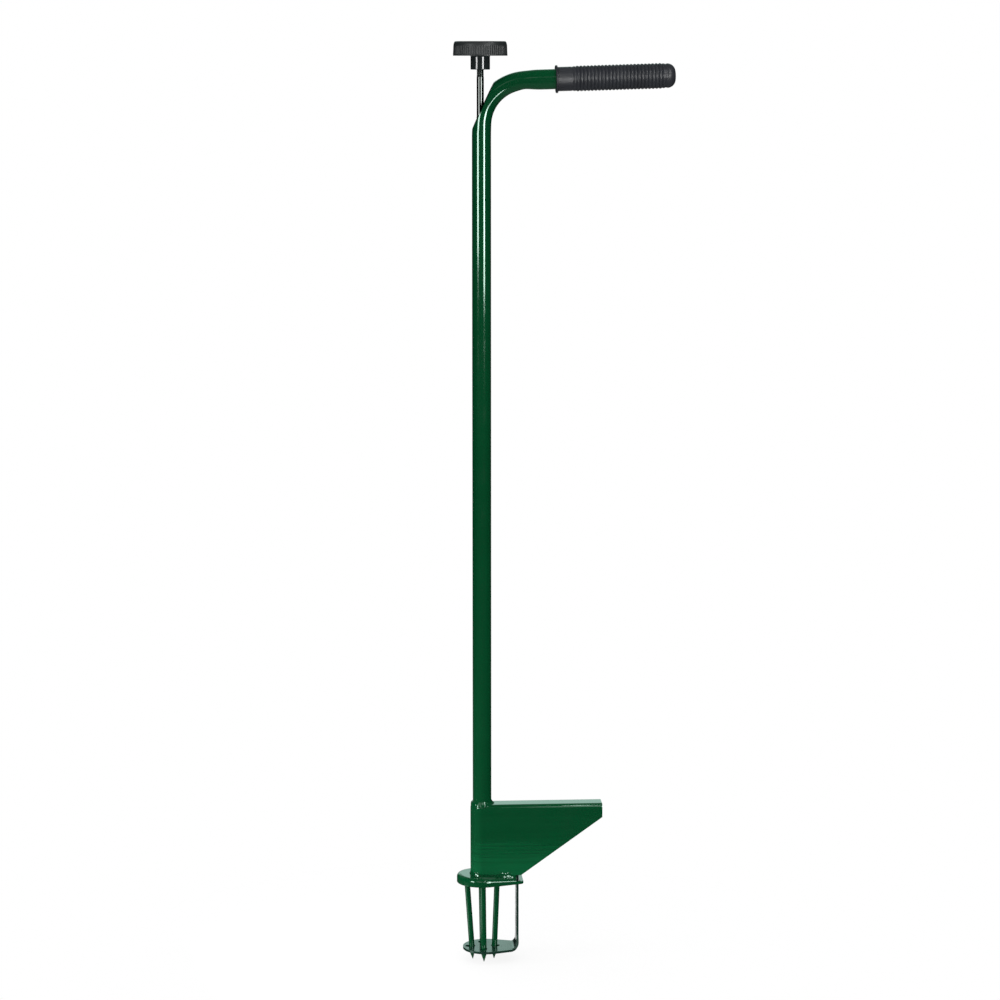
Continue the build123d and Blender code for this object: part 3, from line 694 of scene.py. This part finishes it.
def mixed_shader(factor, first, second):
    """A shader mixed from two by a factor."""
    mix = new_node(first, "MixShader")
    feed(factor, mix.inputs["Fac"])
    feed(first, mix.inputs[1])
    feed(second, mix.inputs[2])
    return mix.outputs["Shader"]


def bump(shader, value, strength, distance):
    """Surface relief from a texture's value."""
    relief = new_node(value, "Bump")
    relief.inputs["Strength"].default_value = strength
    relief.inputs["Distance"].default_value = distance
    feed(value, relief.inputs["Height"])
    feed(relief.outputs["Normal"], shader.inputs["Normal"])


def painted_bounce_below(place, tone, pale):
    """Mix a paler colour in towards the pedal's foot, a painted bounce light from the floor, with a
    border that breaks into level stripes.
    """
    streak = noise(place, scale=1.0, detail=3.0, stretch=(16.0, 16.0, 330.0))
    height = calc("ADD", axes(place)[2], between(streak, -0.013, 0.013))
    # share of the painted bounce light, full at the pedal's foot
    low = between(height, 1.0, 0.0, start=0.098, end=0.144)
    low.node.interpolation_type = "SMOOTHSTEP"
    return mixed(low, tone, (*pale, 1.0))


def green_paint(name, dark, light, streaks_and_painted_bounce=False, rough=(0.07, 0.11)):
    """Gloss powder coat: slow patches of two greens under a tinted, uneven gloss with a fine orange
    peel. Streaks lie level; with them comes a paler green towards the foot, painted bounce light."""
    finishes = bpy.context.scene.weed_puller_finishes
    material, shader, place = new_finish(name)
    stretch = (14.0, 14.0, 300.0) if streaks_and_painted_bounce else (14.0, 14.0, 14.0)
    tone = two_tone(noise(place, scale=1.0, detail=4.0, stretch=stretch), dark, light)
    if streaks_and_painted_bounce:
        # painted bounce light: a paler green towards the pedal's foot
        tone = painted_bounce_below(place, tone, finishes.green_painted_bounce)
    feed(tone, shader.inputs["Base Color"])
    feed(between(noise(place, scale=60.0, detail=3.0), *rough), shader.inputs["Roughness"])
    bump(shader, noise(place, scale=500.0, detail=2.0), strength=0.01, distance=0.0001)
    shader.inputs["IOR"].default_value = 1.9
    shader.inputs["Specular Tint"].default_value = (*finishes.gloss_tint, 1.0)
    return material


def plain_finish(name, base, rough, grain, depth, metallic=0.0, spread=0.18):
    """Moulded or plated finish: a faintly clouded colour, uneven roughness and a fine grain."""
    material, shader, place = new_finish(name)
    dark = [c * (1.0 - spread) for c in base]
    light = [min(1.0, c * (1.0 + spread)) for c in base]
    cloud = noise(place, scale=40.0, detail=4.0)
    feed(two_tone(cloud, dark, light), shader.inputs["Base Color"])
    patch = noise(place, scale=130.0, detail=3.0)
    feed(between(patch, rough * 0.85, rough * 1.15), shader.inputs["Roughness"])
    bump(shader, noise(place, scale=grain, detail=2.0), strength=0.25, distance=depth)
    shader.inputs["Metallic"].default_value = metallic
    return material


def rod_finish(name, plate, thread):
    """Polished plating with faint length-wise drawing marks, with another colour and less gloss on
    the oily thread under the knob."""
    material, shader, place = new_finish(name)
    marks = noise(place, scale=1.0, detail=3.0, stretch=(900.0, 900.0, 12.0))
    bright = two_tone(marks, [c * 0.96 for c in plate], plate)
    fade = 0.0004  # half the height over which the plating gives way to the thread
    above = between(axes(place)[2], 0.0, 1.0, start=THREAD_LOW - fade, end=THREAD_LOW + fade)
    feed(mixed(above, bright, (*thread, 1.0)), shader.inputs["Base Color"])
    feed(between(above, 0.07, 0.22, start=0.0, end=1.0), shader.inputs["Roughness"])
    shader.inputs["Metallic"].default_value = 1.0
    return material


def frame_paint():
    """The frame's paint, made once and shared by its pieces."""
    finishes = bpy.context.scene.weed_puller_finishes
    made = bpy.data.materials.get("green_powder_coat")
    return made or green_paint("green_powder_coat", finishes.green, finishes.green_light)


def painted_piece(name, node, points, quads):
    """A piece of the frame in the frame's paint that stands for one CAD node."""
    piece = make_piece(name, points, quads)
    place_piece(piece, "frame", [node], frame_paint())


def coat_node(node, material):
    """Give a CAD node that stays in sight its finish."""
    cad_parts[node].data.materials.clear()
    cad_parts[node].data.materials.append(material)


def settings(context):
    """The sizes and the finishes that a user may change."""
    return context.scene.weed_puller_sizes, context.scene.weed_puller_finishes


def thicken(piece, name, thickness):
    """Give a surface a thickness on its inner side."""
    wall = piece.modifiers.new(name, "SOLIDIFY")
    wall.thickness = thickness
    wall.offset = -1.0


class WEEDPULLER_OT_tube(bpy.types.Operator):
    """Build the bent tube with its pressed flat and rod hole"""

    bl_idname = "weed_puller.tube"
    bl_label = "Bent tube"

    def execute(self, context):
        sizes = context.scene.weed_puller_sizes
        tube = make_piece("tube", *tube_surface(sizes), crease=14.0)
        thicken(tube, "wall", sizes.tube_wall)
        place_piece(tube, "frame", ["main_tube"], frame_paint())
        return {"FINISHED"}


class WEEDPULLER_OT_pedal(bpy.types.Operator):
    """Build the folded foot pedal"""

    bl_idname = "weed_puller.pedal"
    bl_label = "Foot pedal"

    def execute(self, context):
        sizes, finishes = settings(context)
        pedal = make_piece("pedal", *pedal_surface(sizes), crease=50.0)
        thicken(pedal, "sheet", sizes.pedal_sheet)
        edge = pedal.modifiers.new("edge", "BEVEL")
        edge.width = 0.0004
        edge.segments = 2
        edge.limit_method = "ANGLE"
        edge.angle_limit = math.radians(60.0)
        # The pedal's sheet paint carries painted bounce light, paler towards its foot.
        streaked_and_bounce_lit = green_paint(
            "green_powder_coat_sheet", finishes.green, finishes.green_light, streaks_and_painted_bounce=True
        )
        place_piece(pedal, "frame", ["foot_pedal"], streaked_and_bounce_lit)
        return {"FINISHED"}


class WEEDPULLER_OT_tines(bpy.types.Operator):
    """Build the four tines and paint the plate that carries them"""

    bl_idname = "weed_puller.tines"
    bl_label = "Tines and plate"

    def execute(self, context):
        sizes = context.scene.weed_puller_sizes
        for side in TINES:
            node = f"tine_{side}"
            painted_piece(f"tine_bar_{side}", node, *tine_surface(sizes, *tine_line(node)))
        coat_node("tine_plate", frame_paint())
        return {"FINISHED"}


class WEEDPULLER_OT_beads(bpy.types.Operator):
    """Build the weld beads at the tube's foot, the pedal's foot and the tines' roots"""

    bl_idname = "weed_puller.beads"
    bl_label = "Weld beads"

    def execute(self, context):
        sizes = context.scene.weed_puller_sizes
        painted_piece("tube_bead", "tube_weld", *tube_weld_surface(sizes))
        painted_piece("pedal_bead", "pedal_weld", *pedal_weld_surface(sizes))
        rings, faces, total = [], [], 0
        for seed, side in enumerate(TINES, start=20):
            points, quads = tine_weld_surface(sizes, tine_line(f"tine_{side}")[1], seed)
            rings.append(points.reshape(-1, 3))
            faces.append(quads + total)
            total += len(rings[-1])
        painted_piece("tine_beads", "tine_welds", np.concatenate(rings), np.concatenate(faces))
        return {"FINISHED"}


class WEEDPULLER_OT_ejector(bpy.types.Operator):
    """Finish the ejector in a duller coat whose darker green is painted shade"""

    bl_idname = "weed_puller.ejector"
    bl_label = "Ejector"

    def execute(self, context):
        # a darker green as painted shade, with a duller gloss
        dark = context.scene.weed_puller_finishes.green_painted_shade
        light = [c * 1.5 for c in dark]
        dull_and_painted_shade = green_paint("green_powder_coat_ejector", dark, light, rough=(0.17, 0.24))
        coat_node("ejector", dull_and_painted_shade)
        return {"FINISHED"}


class WEEDPULLER_OT_grip(bpy.types.Operator):
    """Build the ribbed rubber grip on the handle arm"""

    bl_idname = "weed_puller.grip"
    bl_label = "Handle grip"

    def execute(self, context):
        sizes, finishes = settings(context)
        _, heading, arm_start = bend_facts(sizes)
        origin = arm_start + heading * sizes.grip_start
        profile = grip_profile(sizes, sizes.tube_diameter / 2 + SNUG)
        points = turned(profile, columns=112, origin=origin, axis=heading, side=(0.0, -1.0, 0.0))
        grip = make_piece("grip", *skin(points), crease=60.0)
        rubber = plain_finish("grip_rubber", finishes.grip, rough=0.36, grain=1800.0, depth=0.00003)
        place_piece(grip, "frame", ["handle_grip"], rubber)
        return {"FINISHED"}


class WEEDPULLER_OT_knob(bpy.types.Operator):
    """Build the push knob with its polished hub"""

    bl_idname = "weed_puller.knob"
    bl_label = "Push knob"

    def execute(self, context):
        sizes, finishes = settings(context)
        plastic = {"base": finishes.knob, "grain": 900.0}
        knob = make_piece("knob", *knob_surface(sizes))
        grained = plain_finish("knob_plastic", rough=0.42, depth=0.000008, **plastic)
        place_piece(knob, "plunger", ["plunger_knob"], grained)
        polished = plain_finish("knob_plastic_polished", rough=0.10, depth=0.000002, **plastic)
        polished.node_tree.nodes["Principled BSDF"].inputs["IOR"].default_value = 1.62
        knob.data.materials.append(polished)
        middles = np.zeros(len(knob.data.polygons) * 3, np.float32)
        knob.data.polygons.foreach_get("center", middles)
        hub = middles.reshape(-1, 3)[:, 2] < DISC_LOW - 0.0002
        knob.data.polygons.foreach_set("material_index", hub.astype(np.int32))
        return {"FINISHED"}


class WEEDPULLER_OT_rod(bpy.types.Operator):
    """Build the plunger rod with a thread at each end"""

    bl_idname = "weed_puller.rod"
    bl_label = "Plunger rod"

    def execute(self, context):
        sizes, finishes = settings(context)
        rod = make_piece("rod", *rod_surface(sizes), crease=60.0)
        chrome = rod_finish("rod_chrome", finishes.chrome, finishes.thread)
        place_piece(rod, "plunger", ["plunger_rod"], chrome)
        return {"FINISHED"}


class WEEDPULLER_OT_fittings(bpy.types.Operator):
    """Finish the carried-over inner pieces: bush, insert, arm, nuts, washers and screws"""

    bl_idname = "weed_puller.fittings"
    bl_label = "Inner fittings"

    def execute(self, context):
        finishes = context.scene.weed_puller_finishes
        metal = {"grain": 900.0, "metallic": 1.0}
        zinc = plain_finish(
            "zinc_plate", finishes.zinc, rough=0.34, depth=0.00004, spread=0.12, **metal
        )
        brass = plain_finish(
            "insert_brass", finishes.brass, rough=0.30, depth=0.00003, spread=0.08, **metal
        )
        nylon = plain_finish("bush_nylon", finishes.bush, rough=0.50, grain=1200.0, depth=0.00004)
        coat_node("knob_insert", brass)
        coat_node("rod_guide_bush", nylon)
        for node in (
            "link_arm", "arm_nut_upper", "arm_nut_lower", "arm_washer_upper", "arm_washer_lower",
            "leg_screws", "leg_nuts", "leg_washers",
        ):
            coat_node(node, zinc)
        return {"FINISHED"}


def softbox(name, place, target, width, height, radiance, spread=None, fill=False):
    """A rectangular lamp at a place, facing a target; a spread in degrees is a honeycomb grid.

    A softbox shows in gloss only, so that its mirror image is placed freely; a fill lights the
    colour only.
    """
    data = bpy.data.lights.new(name, "AREA")
    data.shape = "RECTANGLE"
    data.size, data.size_y = width, height
    data.energy = radiance * math.pi * width * height
    if spread:
        half = math.radians(spread) / 2
        data.spread = 2 * half
        data.energy *= 1 - half / math.tan(half)
    lamp = bpy.data.objects.new(name, data)
    lamp.location = place
    lamp.rotation_mode = "QUATERNION"
    lamp.rotation_quaternion = (Vector(target) - Vector(place)).to_track_quat("-Z", "Y")
    lamp.visible_camera = False
    lamp.visible_diffuse = fill
    lamp.visible_glossy = not fill
    bpy.context.scene.collection.objects.link(lamp)


def mirrored_room(x, y, z):
    """The room that gloss mirrors, by direction: a bright sheet behind the object, wider above the
    horizon than below it, and dim light from below, from high behind and from low on the left.
    Above the horizon all of it is a pale mint."""

    def ramp(value, start, end, low=0.0, high=1.0):
        """Low up to the start, high from the end on and even in between."""
        return between(value, low, high, start, end)

    aside, level = calc("ABSOLUTE", x), calc("ABSOLUTE", z)
    upper = ramp(z, 0.08, 0.15)
    narrow = calc("MULTIPLY", ramp(aside, 0.11, 0.16, 1.0, 0.0), ramp(level, 0.10, 0.17))
    wide = calc("MULTIPLY", ramp(aside, 0.27, 0.34, 1.0, 0.0), upper)
    depth = calc("MULTIPLY", ramp(y, 0.80, 0.90), ramp(z, 0.273, 0.290, 1.0, 0.60))
    sheet = calc("MULTIPLY", depth, calc("MAXIMUM", narrow, wide))
    below = ramp(z, -0.80, -0.45, 0.085, 0.0)
    high_behind = calc("MULTIPLY", ramp(y, 0.2, 0.6, 0.0, 0.085), ramp(z, 0.30, 0.50))
    low_left = calc("MULTIPLY", ramp(x, -0.65, -0.20, 0.04, 0.0), ramp(z, -0.30, -0.18, 1.0, 0.0))
    light = calc("ADD", calc("ADD", sheet, below), calc("ADD", high_behind, low_left))
    dim, bright, mint = 0.006, 1.15, (0.82, 1.12, 1.03, 1.0)
    shade = two_tone(light, [dim] * 3, [bright] * 3, start=0.0, end=1.0)
    return mixed(upper, shade, mint, "MULTIPLY")


def lighting_room(y, z, grey):
    """The room that lights the colour, by direction: grey from above, below, front and back."""
    above = between(z, grey * 0.07, grey * 2.4, start=0.6, end=1.0)
    below = between(z, grey * 0.6, 0.0, start=-1.0, end=-0.4)
    front = between(y, grey * 1.9, 0.0, start=-1.0, end=-0.5)
    back = between(y, 0.0, grey, start=0.6, end=1.0)
    return calc("ADD", calc("ADD", above, below), calc("ADD", front, back))


class WEEDPULLER_OT_stage(bpy.types.Operator):
    """Set the white studio, its softboxes and the camera"""

    bl_idname = "weed_puller.stage"
    bl_label = "Studio"

    def execute(self, context):
        scene = context.scene
        stage = scene.weed_puller_stage
        scene.view_settings.view_transform = "Standard"
        self.camera(scene, stage)
        self.lamps(stage)
        self.room(scene, stage)
        self.floor()
        return {"FINISHED"}

    def camera(self, scene, stage):
        """A camera that looks down by its pitch and to the right by its yaw."""
        data = bpy.data.cameras.new("camera")
        data.sensor_width = 36.0
        data.lens = stage.camera_lens
        camera = bpy.data.objects.new("camera", data)
        ahead = Vector((
            math.sin(stage.camera_yaw) * math.cos(stage.camera_pitch),
            math.cos(stage.camera_yaw) * math.cos(stage.camera_pitch),
            -math.sin(stage.camera_pitch),
        ))
        camera.location = stage.camera_place
        camera.rotation_mode = "QUATERNION"
        camera.rotation_quaternion = ahead.to_track_quat("-Z", "Y")
        scene.collection.objects.link(camera)
        scene.camera = camera

    def lamps(self, stage):
        """A strip softbox on either side of the camera and a slim one at the bend; a low softbox
        and a fill at the foot's left; and three gridded softboxes on the foot."""
        strip = stage.box_strength
        # name, place, target, width, height, radiance and the grid's spread
        softbox("left_strip", (-1.46, -1.36, 0.97), (0.0, 0.0, 0.97), 0.60, 0.68, strip)
        softbox("right_strip", (0.97, -1.75, 0.92), (0.0, 0.0, 0.92), 0.60, 0.72, strip)
        softbox("bend_strip", (0.175, -0.303, 0.87), (0.0, 0.0, 0.87), 0.03, 0.26, strip)
        softbox("low_left", (-0.30, -0.06, -0.040), (0.0, 0.0, 0.05), 0.12, 0.08, 1.5)
        softbox("wrap_fill", (-0.30, -0.06, 0.11), (0.0, 0.0, 0.11), 0.10, 0.10, 21.0, fill=True)
        softbox("high_front", (0.325, -1.60, 1.38), (0.08, 0.0, 0.15), 0.25, 0.85, 2.0, 30.0)
        softbox("rim_middle", (-0.33, -1.25, 1.35), (0.0, -0.02, 0.09), 0.75, 0.80, 1.2, 40.0)
        softbox("rim_light", (0.785, -0.875, 1.06), (0.015, -0.02, 0.09), 0.30, 1.30, 15.0, 40.0)

    def room(self, scene, stage):
        """A world that the camera sees as white, with one room for gloss and one for colour."""
        world = bpy.data.worlds.new("room")
        world.use_nodes = True
        world.node_tree.nodes.clear()
        place = world.node_tree.nodes.new("ShaderNodeTexCoord").outputs["Generated"]
        x, y, z = axes(place)
        path, white = new_node(place, "LightPath"), new_node(place, "Background")
        room, output = new_node(place, "Background"), new_node(place, "OutputWorld")
        gloss, colour_light = mirrored_room(x, y, z), lighting_room(y, z, stage.sky_strength)
        feed(mixed(path.outputs["Is Glossy Ray"], colour_light, gloss), room.inputs["Color"])
        white.inputs["Color"].default_value = (1.0, 1.0, 1.0, 1.0)
        seen = mixed_shader(path.outputs["Is Camera Ray"], room.outputs[0], white.outputs[0])
        feed(seen, output.inputs["Surface"])
        scene.world = world

    def floor(self):
        """A small round pale floor under the tips that fades out at its edge and keeps a faint
        shadow. Only the camera sees it."""
        rings, turn = [0.0, 0.15, 0.30, 0.45], full_turn(64)
        just_below = -0.0004
        points, quads = skin(lathed(np.outer(rings, np.ones(len(turn))), just_below, turn))
        floor = make_piece("floor", points, quads[:, ::-1])
        material, shader, place = new_finish("floor_white")
        clear = new_node(place, "BsdfTransparent").outputs["BSDF"]
        white = new_node(place, "Emission").outputs["Emission"]
        camera_ray = new_node(place, "LightPath").outputs["Is Camera Ray"]
        shader.inputs["Base Color"].default_value = (0.9, 0.9, 0.9, 1.0)
        shader.inputs["Roughness"].default_value = 0.9
        far = new_node(place, "VectorMath")
        far.operation = "LENGTH"
        feed(place, far.inputs[0])
        near = between(far.outputs["Value"], 1.0, 0.0, start=0.10, end=0.42)
        shadow_share = 0.12
        lit = mixed_shader(shadow_share, white, shader.outputs["BSDF"])
        faded = mixed_shader(calc("MULTIPLY", near, camera_ray), clear, lit)
        feed(faded, material.node_tree.nodes["Material Output"].inputs["Surface"])
        floor.data.materials.append(material)
        floor.visible_diffuse = floor.visible_glossy = False
        floor.visible_transmission = floor.visible_shadow = False


GROUPS = {
    "weed_puller_sizes": WeedPullerSizes,
    "weed_puller_finishes": WeedPullerFinishes,
    "weed_puller_stage": WeedPullerStage,
}
STEPS = (
    WEEDPULLER_OT_tube, WEEDPULLER_OT_pedal, WEEDPULLER_OT_tines, WEEDPULLER_OT_beads,
    WEEDPULLER_OT_ejector, WEEDPULLER_OT_grip, WEEDPULLER_OT_knob, WEEDPULLER_OT_rod,
    WEEDPULLER_OT_fittings, WEEDPULLER_OT_stage,
)


class WEEDPULLER_PT_panel(bpy.types.Panel):
    """Lists the weed puller's steps and settings"""

    bl_idname = "WEEDPULLER_PT_panel"
    bl_label = "Weed puller"
    bl_space_type = "VIEW_3D"
    bl_region_type = "UI"
    bl_category = "Weed puller"

    def draw(self, context):
        for step in STEPS:
            self.layout.operator(step.bl_idname)
        for name in GROUPS:
            group = getattr(context.scene, name)
            for setting in group.__annotations__:
                self.layout.prop(group, setting)


CLASSES = (*GROUPS.values(), *STEPS, WEEDPULLER_PT_panel)


def register():
    """Register the classes and hang the settings on the scene."""
    for kind in CLASSES:
        bpy.utils.register_class(kind)
    for name, kind in GROUPS.items():
        setattr(bpy.types.Scene, name, bpy.props.PointerProperty(type=kind))


def unregister():
    """Take the settings and classes away again."""
    for name in GROUPS:
        delattr(bpy.types.Scene, name)
    for kind in reversed(CLASSES):
        bpy.utils.unregister_class(kind)


def main():
    """Build everything in order."""
    register()
    bpy.ops.weed_puller.tube()
    bpy.ops.weed_puller.pedal()
    bpy.ops.weed_puller.tines()
    bpy.ops.weed_puller.beads()
    bpy.ops.weed_puller.ejector()
    bpy.ops.weed_puller.grip()
    bpy.ops.weed_puller.knob()
    bpy.ops.weed_puller.rod()
    bpy.ops.weed_puller.fittings()
    bpy.ops.weed_puller.stage()


if __name__ == "__main__":
    main()
